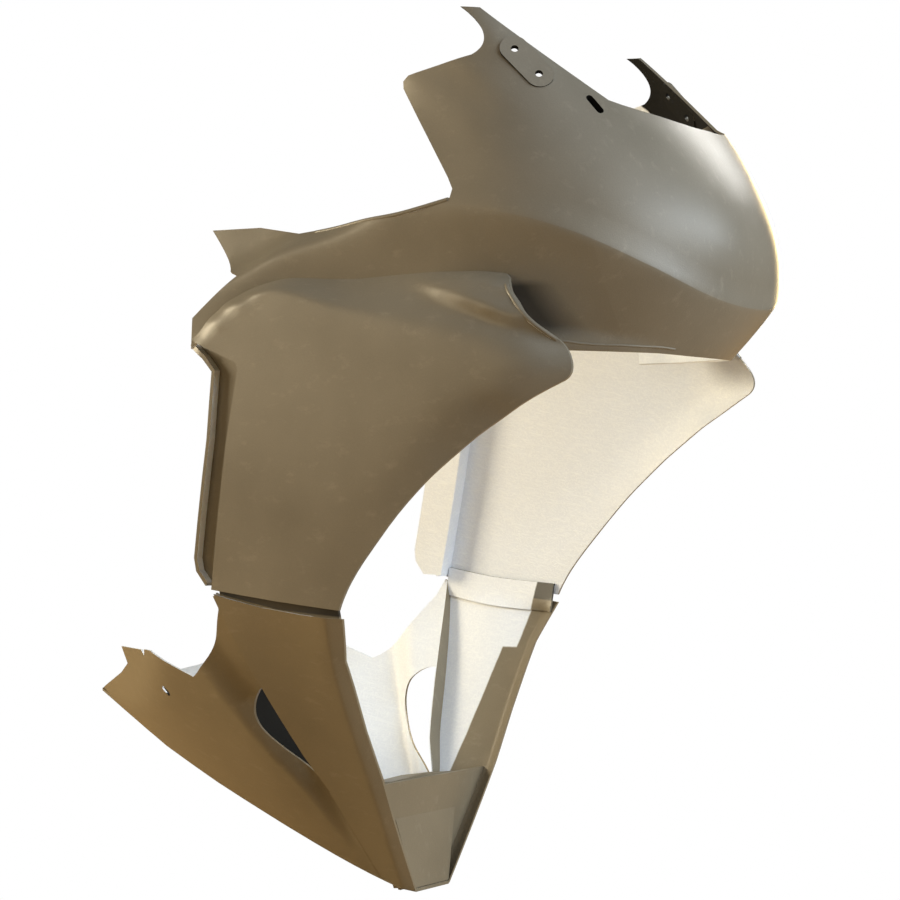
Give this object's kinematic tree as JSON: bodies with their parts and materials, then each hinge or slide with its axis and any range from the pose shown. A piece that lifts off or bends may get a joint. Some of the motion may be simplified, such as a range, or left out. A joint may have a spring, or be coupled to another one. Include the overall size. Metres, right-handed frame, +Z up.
{
  "type": "motorcycle fairing",
  "caption": "Racing-style motorcycle fairing: a wrap-round nose cowl with side panels and air scoops over a keeled belly pan, thin shells that shed wind from engine and rider.",
  "frame": {"origin": "on the centre plane, under the middle of the overall box, at the height of the lowest point of the keel", "axes": "+X forward to the nose, +Y to the rider's left, +Z up, as the fairing sits on the bike"},
  "size_m": [0.8059, 0.418, 0.843],
  "materials": {
    "upper_laminate": "satin grey primer on glass fibre",
    "lower_laminate": "satin grey primer on glass fibre"
  },
  "bodies": {
    "root": {"upper_fairing": "upper_laminate", "lower_fairing": "lower_laminate"}
  },
  "joints": []
}
